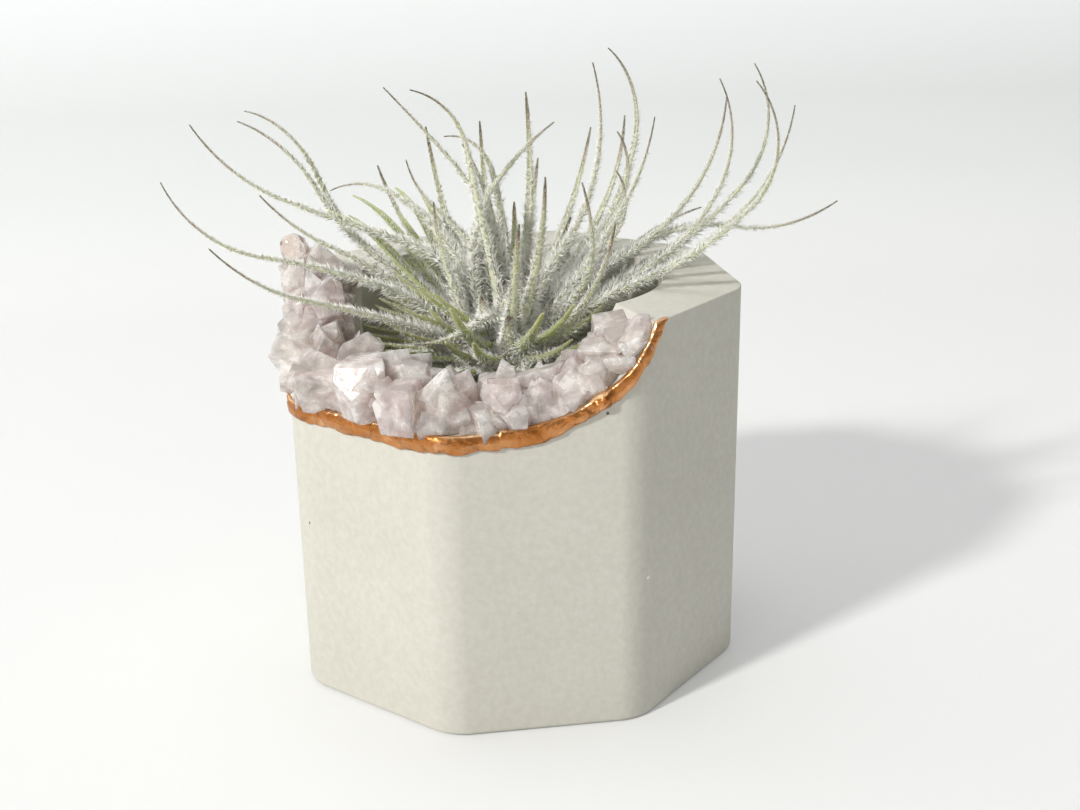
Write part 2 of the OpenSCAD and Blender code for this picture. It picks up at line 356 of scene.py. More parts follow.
# %% [markdown]
# ## The concrete pot
# The real pot is cast upside down in a mould, so its walls are smooth with a few pinholes, its
# upright edges are round, and its rim is crisp. It is modelled as a caster would think of it: an
# eight-sided block, its edges rounded, a round core taken out, and then the break taken out with
# the same shapes as in the CAD model.

# %% Sizes of the pot and of its break
POT_AF = 76 * MM
POT_H = 67 * MM
EDGE_R = 8 * MM
EDGE_STEPS = 14
FOOT_R = 0.9 * MM
RIM_R = 0.3 * MM
FLOOR_T = 14 * MM
MOUTH_R = 27 * MM
WELL_R = 19 * MM
WELL_DEPTH_MM = 53
WELL_CORNER_R = 2.5 * MM
BREAK_AZ = math.radians(-130)
BREAK_TURN = math.radians(55)
BREAK_R = 27 * MM
BREAK_RISE = 12 * MM
BREAK_SHIFT = 16 * MM
BREAK_Z = 51.5 * MM
HALF_TURN = math.pi / 8


def compass(az):
    return np.array([math.cos(az), math.sin(az)])


def cut(piece, tool):
    """Takes the tool's shape out of the piece, and the tool away."""
    apply_modifier(piece, "BOOLEAN", operation="DIFFERENCE", solver="EXACT", object=tool)
    bpy.data.objects.remove(tool)


# %% Pot block with round edges
deselect()
bpy.ops.mesh.primitive_cylinder_add(vertices=8, radius=POT_AF / 2 / math.cos(HALF_TURN), depth=POT_H,
                                    location=(0, 0, POT_H / 2), rotation=(0, 0, HALF_TURN))
pot = named("pot_casting")
settle(pot)
bevel_edges(pot, lambda a, b: abs(a.z - b.z) > POT_H / 2, EDGE_R * math.tan(HALF_TURN), EDGE_STEPS)
bevel_edges(pot, lambda a, b: max(a.z, b.z) < MM, FOOT_R, 4)
bevel_edges(pot, lambda a, b: min(a.z, b.z) > POT_H - MM, RIM_R, 3)
print("block has", len(pot.data.polygons), "faces")

# %% Round hollow
# The core stands 1 mm out of the pot, so its top is wider than the mouth by what it widens in 1 mm.
deselect()
bpy.ops.mesh.primitive_cone_add(vertices=160, radius1=WELL_R,
                                radius2=MOUTH_R + (MOUTH_R - WELL_R) / WELL_DEPTH_MM,
                                depth=POT_H - FLOOR_T + MM, location=(0, 0, (POT_H + FLOOR_T + MM) / 2))
core = named("core")
settle(core)
bevel_edges(core, lambda a, b: max(a.z, b.z) < FLOOR_T + MM, WELL_CORNER_R, 4)
cut(pot, core)
print("block with its hollow has", len(pot.data.polygons), "faces")

# %% [markdown]
# The break could be sculpted, but the CAD model makes it of three plain shapes, and its edge has to
# agree with the chips that lie on it. So the same three are taken out here: a cylinder lying across
# the wall at each end of the break, and a wedge for the level stretch between them.

# %% Break
for side in (-1, 1):
    az = BREAK_AZ + side * BREAK_TURN
    middle = compass(az) * POT_AF / 2 - side * BREAK_SHIFT * compass(az + math.pi / 2)
    deselect()
    bpy.ops.mesh.primitive_cylinder_add(vertices=144, radius=BREAK_R, depth=POT_AF,
                                        location=(*middle, POT_H + BREAK_RISE),
                                        rotation=(0, math.pi / 2, az))
    cut(pot, named("break_end"))
apex = BREAK_SHIFT / math.sin(BREAK_TURN) * compass(BREAK_AZ)
deselect()
bpy.ops.mesh.primitive_cylinder_add(vertices=4, radius=1, depth=POT_H, location=(0, 0, BREAK_Z + POT_H / 2))
wedge = named("break_middle")
settle(wedge)
outline = [apex, apex + POT_AF * compass(BREAK_AZ - BREAK_TURN), apex + 2 * POT_AF * compass(BREAK_AZ),
           apex + POT_AF * compass(BREAK_AZ + BREAK_TURN)]
order = sorted({(round(v.co.x, 3), round(v.co.y, 3)) for v in wedge.data.vertices},
               key=lambda p: math.atan2(p[1], p[0]))
for vertex in wedge.data.vertices:
    at = order.index((round(vertex.co.x, 3), round(vertex.co.y, 3)))
    vertex.co.x, vertex.co.y = outline[at]
activate(wedge)
bpy.ops.object.mode_set(mode="EDIT")
finish_edit()
cut(pot, wedge)
smooth(pot, 30)
print("pot has", len(pot.data.polygons), "faces")

# %% [markdown]
# ### Concrete finish
# Cast concrete is nearly one colour, with soft clouds where it dried unevenly, fine sand in its
# skin, and here and there a pit that a bubble left. Three sizes of noise give the clouds and
# the sand. Pits could be cut in the mesh, but they are under half a millimetre, so rare cells
# of a Voronoi pattern dent the surface and are painted near black, the painted shade inside each pit.
# The few that show best have their own places.

# %% Concrete finish
PITS = ((0.0102, -0.0380, 0.0538), (-0.0364, -0.0174, 0.0307), (-0.0308, -0.0230, 0.0504))
PIT_R = 0.36 * MM
SPECK = (0.0172, -0.0365, 0.0250)
SPECK_R = 0.5 * MM
PORE_SCALE, PORE_REACH, PORE_RARITY = 150.0, 0.045, 0.995
concrete = Finish("cast_concrete", Roughness=0.82, Specular_IOR_Level=0.3)
clouds = concrete.noise(38, 5, 0.55)
grain = concrete.noise(900, 3, 0.6)
fine = concrete.noise(2600, 2, 0.5)
tone = concrete.ramp(clouds, (0.3, (0.602, 0.588, 0.515)), (0.55, (0.643, 0.628, 0.554)),
                     (0.75, (0.668, 0.653, 0.578)))
sand = concrete.ramp(grain, (0.35, (0.55, 0.54, 0.48)), (0.7, (0.70, 0.69, 0.64)))
tone = concrete.mix(0.35, tone, sand)
pores = concrete.node("TexVoronoi", links=[(concrete.place.outputs["Object"], "Vector")], Scale=PORE_SCALE)
rare = concrete.node("TexWhiteNoise", links=[(pores.outputs["Position"], "Vector")]).outputs["Value"]
pit_dent_and_shade = concrete.math("MULTIPLY", concrete.math("LESS_THAN", pores.outputs["Distance"], PORE_REACH),
                        concrete.math("GREATER_THAN", rare, PORE_RARITY))


def flaw(point, radius):
    """1 inside an uneven spot round a point of the casting's surface, else 0."""
    away = concrete.node("VectorMath", links=[(concrete.place.outputs["Object"], 0)], operation="DISTANCE")
    away.inputs[1].default_value = point
    uneven = concrete.math("MULTIPLY", concrete.noise(3000, 2), radius)
    return concrete.math("LESS_THAN", concrete.math("ADD", away.outputs["Value"], uneven), radius * 1.2)


for pit in PITS:
    pit_dent_and_shade = concrete.math("MAXIMUM", pit_dent_and_shade, flaw(pit, PIT_R))
# painted shade: each pit is coloured near black, as its inside looks in shade; the dent below is real
tone = concrete.mix(pit_dent_and_shade, tone, (0.16, 0.15, 0.125))
tone = concrete.mix(flaw(SPECK, SPECK_R), tone, (0.88, 0.87, 0.8))
relief = concrete.math("ADD", concrete.math("MULTIPLY", grain, 0.6), concrete.math("MULTIPLY", fine, 0.25))
relief = concrete.math("SUBTRACT", relief, concrete.math("MULTIPLY", pit_dent_and_shade, 3.0))
concrete.set(Base_Color=tone, Normal=concrete.bump(relief, 0.00012, 0.5))
dress(pot, concrete.material, "pot", "concrete_pot", slot="cast_concrete")

# %% [markdown]
# ## The copper edge
# Copper paint was brushed thickly along the broken edge. It laps over the edge onto the faces as a
# band about 3 mm wide, with a ragged lower border, brush lumps and foil-like wrinkles. A bevelled
# curve would be too even, so a closed tube follows the edge of the break, and noise moves its
# points out and down. The heights of the break are worked out as in the CAD model.

# %% Edge of the break
BREAK_FROM = math.radians(-58.5)
BREAK_TO = math.radians(-205)
EDGE_CENTRE = POT_AF / 2 - EDGE_R


def floor_of_end(x, y, side, grow):
    """Height of the rounded end of the break on one side."""
    az = BREAK_AZ + side * BREAK_TURN
    off = -x * math.sin(az) + y * math.cos(az) + side * BREAK_SHIFT
    r = BREAK_R + grow
    before = x * math.cos(az) + y * math.sin(az) > 0
    bow = POT_H + BREAK_RISE - np.sqrt(np.maximum(r * r - off * off, 0))
    return np.where((np.abs(off) < r) & before, bow, POT_H)


def break_floor(x, y, grow=0.0):
    """Height of the break's floor under a point of the wall."""
    dx, dy = x - apex[0], y - apex[1]
    ahead = dx * math.cos(BREAK_AZ) + dy * math.sin(BREAK_AZ)
    ends = np.minimum(floor_of_end(x, y, -1, grow), floor_of_end(x, y, 1, grow))
    level = ahead > np.hypot(dx, dy) * math.cos(BREAK_TURN)
    return np.where(level, BREAK_Z - grow, np.minimum(ends, POT_H))


def wall_reach(az):
    """Distance from the axis to the pot's outside."""
    flat = az - math.pi / 4 * np.round(az / (math.pi / 4))
    past = np.abs(flat) - HALF_TURN
    centre = EDGE_CENTRE / math.cos(HALF_TURN)
    on_edge = centre * np.cos(past) + np.sqrt(np.maximum(EDGE_R ** 2 - (centre * np.sin(past)) ** 2, 0))
    on_flat = POT_AF / 2 / np.cos(flat)
    flat_ends = math.atan(EDGE_CENTRE * math.tan(HALF_TURN) / (POT_AF / 2))
    return np.where(np.abs(flat) < flat_ends, on_flat, on_edge)


def rough(points, scale, seed, octaves=3):
    """Noise from -1 to 1 at each point."""
    shift = Vector((seed * 1.7, seed * 3.1, seed * 0.9))
    return np.array([noise.fractal(Vector(p) * scale + shift, 1.0, 2.0, octaves) for p in points])


print("wall reaches", round(float(wall_reach(BREAK_AZ)) / MM, 1), "mm from the axis at the break")

# %% Copper band
COPPER_W = 3 * MM
COPPER_T = 0.7 * MM
COPPER_RINGS = 620
COPPER_AROUND = 16
COPPER_LAP = 0.25 * MM
LEAST_W = 0.3 * MM
WIDTH_ALONG = ([0, 0.12, 0.25, 1], [0.55, 0.62, 0.97, 1])
TAPER_SHARE, TAPER_LEAST = 0.008, 0.02
RAGGED, FRAYED = 0.55 * MM, 0.16 * MM
INSIDE_REACH = -0.35
ROUNDNESS = 0.6
LUMPY, CRINKLED = 0.28, 0.16
KNOT_AZ = math.radians(-77)
KNOT_SPREAD = math.radians(2.4)
KNOT_UP = 0.5 * MM
KNOT_LUMPY, KNOT_OUT = 2.5, 0.9


def copper_place(share, turn):
    az = BREAK_FROM + (BREAK_TO - BREAK_FROM) * share
    r = wall_reach(az)
    x, y = r * np.cos(az), r * np.sin(az)
    top = break_floor(x, y)
    ends = np.clip(np.minimum(share, 1 - share) / TAPER_SHARE, TAPER_LEAST, 1) ** 0.5
    base = np.stack([x, y, top], 1)
    border = rough(base, 210, 3) * RAGGED + rough(base, 700, 5, 2) * FRAYED
    low = break_floor(x, y, COPPER_W * np.interp(share, *WIDTH_ALONG)) + border
    low = np.minimum(low, top - LEAST_W)
    low = top + (low - top) * ends
    # turn runs round the section: down the outside, back up inside the wall, over the broken edge
    out = np.maximum(np.cos(turn * 2 * math.pi), INSIDE_REACH)
    rise = np.sin(turn * 2 * math.pi)
    bulge = np.sign(out) * np.abs(out) ** ROUNDNESS
    z = low + (top + COPPER_LAP - low) * (rise + 1) / 2
    surface = np.stack([x, y, z], 1)
    lump = rough(surface, 420, 8) * LUMPY + rough(surface, 1300, 9, 2) * CRINKLED
    knot = np.exp(-((az - KNOT_AZ) / KNOT_SPREAD) ** 2)
    lump = lump * (1 + KNOT_LUMPY * knot) + KNOT_OUT * knot
    z = z + KNOT_UP * knot * (rise > 0) * rise
    reach = COPPER_T * ends * np.where(out > 0, bulge * (1 + lump), bulge)
    return np.stack([x + np.cos(az) * reach, y + np.sin(az) * reach, z], 1)


copper = closed_tube("copper_band", COPPER_RINGS, COPPER_AROUND, copper_place)
smooth(copper, 60)
print("copper band has", len(copper.data.polygons), "faces")

# %% [markdown]
# ### Copper finish
# The paint dried like beaten foil, brown in its hollows, and a painted highlight runs bright along
# the lip. Curvature could find the lip, but the band's own UV map is simpler: its Y says how far
# round the section a point lies, so a ramp on it makes the painted highlight follow the edge.

# %% Copper finish
foil = Finish("copper_paint", Metallic=1.0)
strokes = foil.noise(170, 3, 0.5, distortion=1.0)
creases = foil.noise(1300, 2, 0.5)
patches = foil.noise(330, 4, 0.6, distortion=0.6)
lip = foil.ramp(foil.part("UV", "Y"), (0.13, 0), (0.17, 1), (0.25, 1), (0.3, 0.2))
# painted highlight: a bright line along the lip, where the edge would catch the light
painted_lip_highlight = foil.math("MULTIPLY", lip, foil.ramp(foil.noise(240, 3, 0.5), (0.36, 0.1), (0.6, 1)))
paint = foil.ramp(patches, (0.28, (0.26, 0.085, 0.02)), (0.42, (0.47, 0.175, 0.045)),
                  (0.6, (0.56, 0.225, 0.07)), (0.76, (0.78, 0.42, 0.23)))
foil.set(Base_Color=foil.mix(painted_lip_highlight, paint, (0.98, 0.66, 0.38)),
         Roughness=foil.math("ADD", foil.math("MULTIPLY", creases, 0.3), 0.16),
         Normal=foil.bump(creases, 0.0001, 0.35, foil.bump(strokes, 0.0018, 0.7)))
dress(copper, foil.material, "pot", "copper_edge", slot="copper_paint")

# %% [markdown]
# ## The quartz chips
# The chips are splinters of rose quartz with flat sharp faces that catch the light. Each could be
# modelled by hand, but stone splits along planes, so a blank is a cube that is cut by a few turned
# planes, and the heap is made of copies of the blanks, one for each chip of the CAD model and
# small ones in between.

# %% Shard blanks
BLANKS = 14
BLANK_WIDE, BLANK_HIGH = (0.7, 1), (0.55, 0.85)
SPLIT_DEPTHS = (0.24, 0.28, 0.32, 0.36, 0.4)
SPLITS_VARY = (0.9, 1.15)
ARRIS = 0.03
random_chip = np.random.default_rng(41)


def unit():
    """A random direction."""
    v = random_chip.normal(size=3)
    return v / np.linalg.norm(v, axis=-1, keepdims=True)


def shard_blank(number):
    """A block split by turned planes, moved to the middle and brought to a length of 1."""
    deselect()
    bpy.ops.mesh.primitive_cube_add(size=1.0)
    blank = named("blank_%02d" % number)
    bpy.ops.object.mode_set(mode="EDIT")
    bpy.ops.transform.resize(value=(1, random_chip.uniform(*BLANK_WIDE), random_chip.uniform(*BLANK_HIGH)))
    for depth in SPLIT_DEPTHS:
        way = unit()
        bpy.ops.mesh.select_all(action="SELECT")
        bpy.ops.mesh.bisect(plane_co=way * depth * random_chip.uniform(*SPLITS_VARY), plane_no=way,
                            use_fill=True, clear_outer=True)
    finish_edit()
    apply_modifier(blank, "BEVEL", width=ARRIS, segments=1, limit_method="ANGLE",
                   angle_limit=math.radians(12))
    corners = corners_of(blank)
    middle = (corners.min(0) + corners.max(0)) / 2
    place_corners(blank, (corners - middle) / np.ptp(corners, axis=0).max())
    return blank


blanks = [shard_blank(n) for n in range(BLANKS)]
print("shard blanks have", [len(b.data.polygons) for b in blanks], "faces")

# %% Chips of the CAD model
def solids_of(node):
    """Centre and size of each separate solid of a CAD node."""
    # its triangles are loose, so corners at one place are first counted as one
    spots, spot_of = np.unique(corners_of(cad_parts[node]).round(6), axis=0, return_inverse=True)
    spot_of = spot_of.reshape(-1)
    group = np.arange(len(spots))
    faces = [spot_of[list(face.vertices)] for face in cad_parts[node].data.polygons]
    changed = True
    while changed:
        changed = False
        for face in faces:
            low = group[face].min()
            if (group[face] != low).any():
                group[face] = low
                changed = True
    found = [spots[group == g] for g in np.unique(group)]
    return [((f.min(0) + f.max(0)) / 2, f.max(0) - f.min(0)) for f in found]


RINGS = ("outer", "middle", "inner")
QUARTERS = ("right", "front", "left", "back")
cad_chips = {(ring, quarter): solids_of("quartz_%s_%s" % (ring, quarter))
             for ring in RINGS for quarter in QUARTERS}
print("the CAD model has", sum(map(len, cad_chips.values())), "chips")

# %% Turned copies, and one piece made of them
def random_turn():
    """A matrix that turns by a random angle about a random axis."""
    x, y, z = unit()
    angle = random_chip.uniform(0, 2 * math.pi)
    c, s = math.cos(angle), math.sin(angle)
    k = 1 - c
    return np.array([[c + x * x * k, x * y * k - z * s, x * z * k + y * s],
                     [y * x * k + z * s, c + y * y * k, y * z * k - x * s],
                     [z * x * k - y * s, z * y * k + x * s, c + z * z * k]])


def fitted(centre, size):
    """A turned blank stretched to fill the box of one CAD chip."""
    blank = blanks[random_chip.integers(len(blanks))]
    turn = random_turn()
    corners = corners_of(blank) @ turn.T
    shape = np.diag(size / np.ptp(corners, axis=0)) @ turn
    return blank, shape, centre - shape @ corners_of(blank).mean(0)


def loose(size, place):
    """A turned blank of the given size."""
    return blanks[random_chip.integers(len(blanks))], random_turn() * size, place


def mesh_piece(name, points, loops, starts):
    """A piece from corner places, the corner numbers of all faces, and where each face starts."""
    mesh = bpy.data.meshes.new(name)
    mesh.vertices.add(len(points))
    mesh.vertices.foreach_set("co", points.reshape(-1))
    mesh.loops.add(len(loops))
    mesh.loops.foreach_set("vertex_index", loops)
    mesh.polygons.add(len(starts))
    mesh.polygons.foreach_set("loop_start", starts)
    mesh.update(calc_edges=True)
    piece = bpy.data.objects.new(name, mesh)
    bpy.context.scene.collection.objects.link(piece)
    return piece


def fused(name, copies):
    """One skin round (blank, 3x3 turn and size, place) copies, each with its own milk and blush."""
    points, loops, starts, lots, at, count = [], [], [], [], 0, 0
    for blank, shape, place in copies:
        co = corners_of(blank)
        points.append(co @ shape.T + place)
        lots.append(np.tile([*random_chip.uniform(0, 1, 3), 1], (len(co), 1)))
        index = np.empty(len(blank.data.loops), dtype=np.int32)
        blank.data.loops.foreach_get("vertex_index", index)
        loops.append(index + at)
        begin = np.empty(len(blank.data.polygons), dtype=np.int32)
        blank.data.polygons.foreach_get("loop_start", begin)
        starts.append(begin + count)
        at += len(co)
        count += len(index)
    points, lots = np.concatenate(points), np.concatenate(lots)
    piece = mesh_piece(name, points, np.concatenate(loops), np.concatenate(starts))
    activate(piece)
    bpy.ops.object.mode_set(mode="EDIT")
    bpy.ops.mesh.select_all(action="SELECT")
    bpy.ops.mesh.intersect_boolean(operation="UNION", use_self=True, solver="EXACT")
    bpy.ops.object.mode_set(mode="OBJECT")
    bpy.ops.object.shade_flat()
    near = kdtree.KDTree(len(points))
    for i, point in enumerate(points):
        near.insert(point, i)
    near.balance()
    nearest = [near.find(vertex.co)[1] for vertex in piece.data.vertices]
    chip = piece.data.attributes.new("chip", "FLOAT_COLOR", "POINT")
    chip.data.foreach_set("color", lots[nearest].reshape(-1))
    return piece


# %% [markdown]
# ### Rose quartz finish
# Rose quartz is clear in places and milky in others, and light goes into it and comes out again.
# Plain glass would look dark and plain white paint dead, so the shader scatters light under the
# surface all over, and lets light through where a chip isn't milky. Each chip's lot of milk and of
# blush is in the mesh, as the attribute chip.

# %% Rose quartz finish
quartz = Finish("rose_quartz", IOR=1.45, Specular_IOR_Level=0.33, Subsurface_Weight=1.0,
                Subsurface_Radius=(1, 1, 1), Subsurface_Scale=0.004)
chip_colour = quartz.node("Attribute", attribute_name="chip").outputs["Color"]
lot = quartz.node("SeparateColor", links=[(chip_colour, "Color")])
milk = quartz.math("MULTIPLY", lot.outputs["Red"], 0.16)
veil = quartz.math("ADD", quartz.noise(300, 5, 0.6, distortion=0.3), milk)
white = quartz.ramp(veil, (0.48, 0), (0.86, 1))
mottle = quartz.ramp(quartz.noise(620, 5, 0.65, distortion=0.8), (0.48, 0), (0.66, 0.8))
pink = quartz.mix(lot.outputs["Green"], (0.975, 0.875, 0.80), (0.985, 0.76, 0.755))
clear = quartz.mix(mottle, pink, (0.95, 0.80, 0.755))
quartz.set(Base_Color=quartz.mix(white, clear, (0.98, 0.91, 0.87)),
           Transmission_Weight=quartz.math("MULTIPLY", quartz.math("SUBTRACT", 1, white), 0.64),
           Roughness=quartz.math("ADD", quartz.math("MULTIPLY", white, 0.15), 0.2),
           Normal=quartz.bump(quartz.noise(500, 3, 0.55), 0.0004, 0.3))

# %% [markdown]
# ### The heap
# The chips were poured along the break and glued. A bed of loose chips hides the concrete along the
# edge. Then each CAD chip gets a blank that fills its box and one loose chip beside it. The chips
# of a stretch are fused to one skin, because where they only overlap, light is lost between them.

# %% Heap of chips
BED_FROM, BED_TO, BED_CHIPS = math.radians(-66), math.radians(-203), 84
BED_SIZES_MM, BED_INSETS_MM, BED_LIFTS = (4.2, 6.6), (2.5, 8), (0.2, 0.4)
LOOSE_SIZES = (0.5, 0.8)
BESIDE = 0.4
RIGHT_END_AZ = math.radians(-78)
RIGHT_END_IN = 1.5 * MM
RIGHT_END_DOWN = 0.7 * MM
OVERSIZE, RIGHT_OVERSIZE = 1.14, 1.04
bed = {quarter: [] for quarter in QUARTERS}
for k in range(BED_CHIPS):
    share = (k + random_chip.uniform(0, 1)) / BED_CHIPS
    az = BED_FROM + (BED_TO - BED_FROM) * share
    size = random_chip.uniform(*BED_SIZES_MM) * MM
    inset = size * BESIDE if k % 2 else random_chip.uniform(*BED_INSETS_MM) * MM
    r = float(wall_reach(np.array([az]))[0]) - inset
    x, y = r * math.cos(az), r * math.sin(az)
    z = float(break_floor(np.array([x]), np.array([y]))[0]) + size * random_chip.uniform(*BED_LIFTS)
    bed[QUARTERS[min(int(share * 4), 3)]].append(loose(size, np.array([x, y, z])))

for (ring, quarter), chips in cad_chips.items():
    on_right = quarter == "right"
    copies = list(bed[quarter]) if ring == "outer" else []
    for centre, size in chips:
        az = math.atan2(centre[1], centre[0])
        if on_right and az > RIGHT_END_AZ:
            centre = centre - np.array([*compass(az) * RIGHT_END_IN, RIGHT_END_DOWN])
        copies.append(fitted(centre, size * (RIGHT_OVERSIZE if on_right else OVERSIZE)))
        way = unit()
        way[2] = 0 if on_right else abs(way[2])
        copies.append(loose(random_chip.uniform(*LOOSE_SIZES) * size.mean(), centre + way * size * BESIDE))
    shards = fused("shards_%s_%s" % (ring, quarter), copies)
    dress(shards, quartz.material, "pot", "quartz_%s_%s" % (ring, quarter), slot="pale_quartz")
for blank in blanks:
    bpy.data.objects.remove(blank)

# %% [markdown]
# ## The air plant
# The plant is a fuzzy, silvery air plant. Its leaves are stiff, folded into a channel, broad where
# they clasp the heart and fine at the tip, which dries brown. Long white hairs stand off every leaf
# and are what makes it silver. Curves drawn one by one could give the leaves, but they have to
# cover the CAD leaves, so they follow the same rows of angles.

# %% Rows of leaf angles
# angle at base and tip, climb of the seat, climb at 0, 1/3, 2/3 and 1, length in mm
LEAF_ROWS = [
    [198, 190, 14, 60, 26, 14, 70, 62],
    [176, 172, 56, 78, 20, 22, 60, 62],
    [214, 206, 8, 42, 24, 20, 50, 55],
    [162, 154, 38, 44, 32, 60, 18, 56],
    [150, 142, 26, 42, 30, 66, 6, 61],
    [174, 166, 26, 54, 34, 26, 50, 44],
    [128, 134, 52, 70, 38, 16, -24, 49],
    [164, 176, 100, 78, 72, 50, 48, 46],
    [222, 200, 70, 84, 76, 80, 14, 46],
    [160, 176, 76, 78, 66, 40, 80, 32],
    [118, 150, 74, 90, 84, 72, 56, 31],
    [84, 150, 58, 78, 80, 72, -10, 38],
    [60, 58, 62, 60, 72, 90, 102, 40],
    [18, 24, 124, 106, 86, 46, 30, 41],
    [-18, 0, 66, 66, 58, 82, 106, 47],
    [40, 26, 34, 34, 42, 74, 144, 61],
    [50, 36, 18, 46, 32, 54, 88, 49],
    [24, 16, 58, 36, 28, 54, 130, 35],
    [-14, -14, 48, 48, 56, 64, 82, 42],
    [32, 24, 40, 42, 40, 56, 130, 42],
    [-44, -34, 44, 38, 46, 92, 110, 32],
    [-4, -6, 34, 38, 28, 64, 118, 59],
    [4, 2, 54, 42, 26, 54, 88, 54],
    [2, -2, 20, 46, 28, 50, 124, 66],
    [-18, -12, 22, 44, 28, 46, 84, 60],
    [-34, -24, 30, 43, 26, 47, 132, 66],
    [12, 6, 36, 46, 29, -12, 32, 63],
    [26, 18, 24, 44, 32, 30, 10, 40],
    [64, 84, 66, 80, 86, 82, 74, 20],
    [74, 62, 44, 32, 38, 60, 70, 35],
    [34, 34, 62, 54, 50, 56, 64, 20],
    [236, 216, 64, 38, -10, 0, 12, 23],
    [90, 94, 24, 34, 44, 64, 80, 44],
    [112, 108, 36, 40, 44, 60, 70, 42],
    [126, 122, 24, 44, 36, 44, 60, 40],
    [62, 54, 22, 42, 32, 46, 66, 48],
    [-72, -64, 50, 60, 66, 76, 90, 30],
    [-92, -88, 40, 56, 60, 66, 60, 26],
    [-58, -50, 22, 34, 44, 60, 80, 32],
    [200, 204, 36, 66, 70, 76, 90, 26]
]
HEART_Z = 51.5 * MM
HEART_R = 8 * MM
SEAT_OFF = 0.3 * MM
LEAF_STEPS = 56
LEAF_AROUND = 18


def leaf_path(row, steps=LEAF_STEPS):
    """Points along a leaf, with its forward, sideways and upper directions there."""
    base, tip, seat, *climbs, length = row
    seat, base = math.radians(seat), math.radians(base)
    start = np.array([0, 0, HEART_Z]) + (HEART_R + SEAT_OFF) * np.array(
        [math.cos(seat) * math.cos(base), math.cos(seat) * math.sin(base), math.sin(seat)])
    shares = np.linspace(0, 1, steps + 1)

    def along(share):
        az = base + (math.radians(tip) - base) * share
        up = np.radians(np.interp(share, [0, 1 / 3, 2 / 3, 1], climbs))
        return np.stack([np.cos(up) * np.cos(az), np.cos(up) * np.sin(az), np.sin(up)], 1), az

    middle, _ = along((shares[1:] + shares[:-1]) / 2)
    points = np.concatenate([[start], start + np.cumsum(middle * length * MM / steps, 0)])
    ahead, az = along(shares)
    across = np.stack([-np.sin(az), np.cos(az), 0 * az], 1)
    return points, ahead, across, np.cross(ahead, across)


print("the longest of", len(LEAF_ROWS), "leaves is", max(row[-1] for row in LEAF_ROWS), "mm long")

# %% Leaf blade
HALF_WIDTH = ([0, 0.08, 0.2, 0.45, 0.75, 0.93, 1], [2.0, 1.35, 0.95, 0.72, 0.48, 0.33, 0.15])
FOLD = ([0, 0.3, 1], [1.0, 0.75, 0.45])
THICK = ([0, 0.4, 1], [0.5, 0.38, 0.18])
CURL = 1.25


def section(share, turn, broad=1.0):
    """Sideways and upper place of a point round a channelled leaf, at turn 0 to 1."""
    half = np.interp(share, *HALF_WIDTH) * MM * broad
    thick = np.interp(share, *THICK) * MM
    fold = np.interp(share, *FOLD)
    lower = turn < 0.5
    t = np.where(lower, turn * 4 - 1, 3 - turn * 4)
    side = half * np.sin(t * CURL) / math.sin(CURL)
    cup = half * fold * (np.abs(t) ** 1.7)
    edge = np.sqrt(np.maximum(1 - t ** 4, 0))
    return side, cup + np.where(lower, -1, 1) * thick / 2 * edge


def leaf_blade(name, row, broad=1.0, steps=LEAF_STEPS, around=LEAF_AROUND):
    points, ahead, across, lift = leaf_path(row, steps)

    def place(share, turn):
        i = np.rint(share * steps).astype(int)
        side, rise = section(share, turn % 1.0, broad)
        return points[i] + across[i] * side[:, None] + lift[i] * rise[:, None]

    return closed_tube(name, steps, around, place)


# %% [markdown]
# ### Hairs
# The hairs are flat scales drawn out to threads, two millimetres long low on the leaf and shorter
# towards the tip. Blender's hair would be lost in the export, so each is a sliver of four small
# triangles. Most stand on the leaf's two edges, as on the real plant, and all lean to the tip.

# %% Hairs
HAIR_LONG = ([0, 0.1, 0.4, 0.75, 1], [2.0, 2.7, 1.7, 0.85, 0.3])
HAIR_DENSE = ([0, 0.15, 0.5, 0.8, 1], [1.0, 1.0, 0.58, 0.36, 0.12])
HAIR_THICK = ([0, 0.5, 1], [0.125, 0.1, 0.045])
HAIRS_PER_MM = 28
HAIRS_TO = 0.985
EDGE_HAIRS, EDGE_SPREAD = 0.78, 0.07
LEAN_DEGREES = (25, 62)
TOUSLED = 0.2
LENGTHS_VARY = (0.6, 1.15)
ROOT_DEPTH = 0.05 * MM
SLOPE_STEP = 0.004
THIRD_TURN = 2.0944
FIRST_SEED = 900


def slope_out(share, turn, side, rise, broad):
    """Outward direction of a leaf's section at a turn, in its sideways and upper parts."""
    side_b, rise_b = section(share, (turn + SLOPE_STEP) % 1.0, broad)
    out_side, out_rise = -(rise_b - rise), side_b - side
    sign = np.sign(out_rise) * np.where(turn < 0.5, -1.0, 1.0)
    sign[sign == 0] = 1
    out = np.stack([out_side * sign, out_rise * sign], 1)
    return out / (np.linalg.norm(out, axis=1, keepdims=True) + 1e-12)


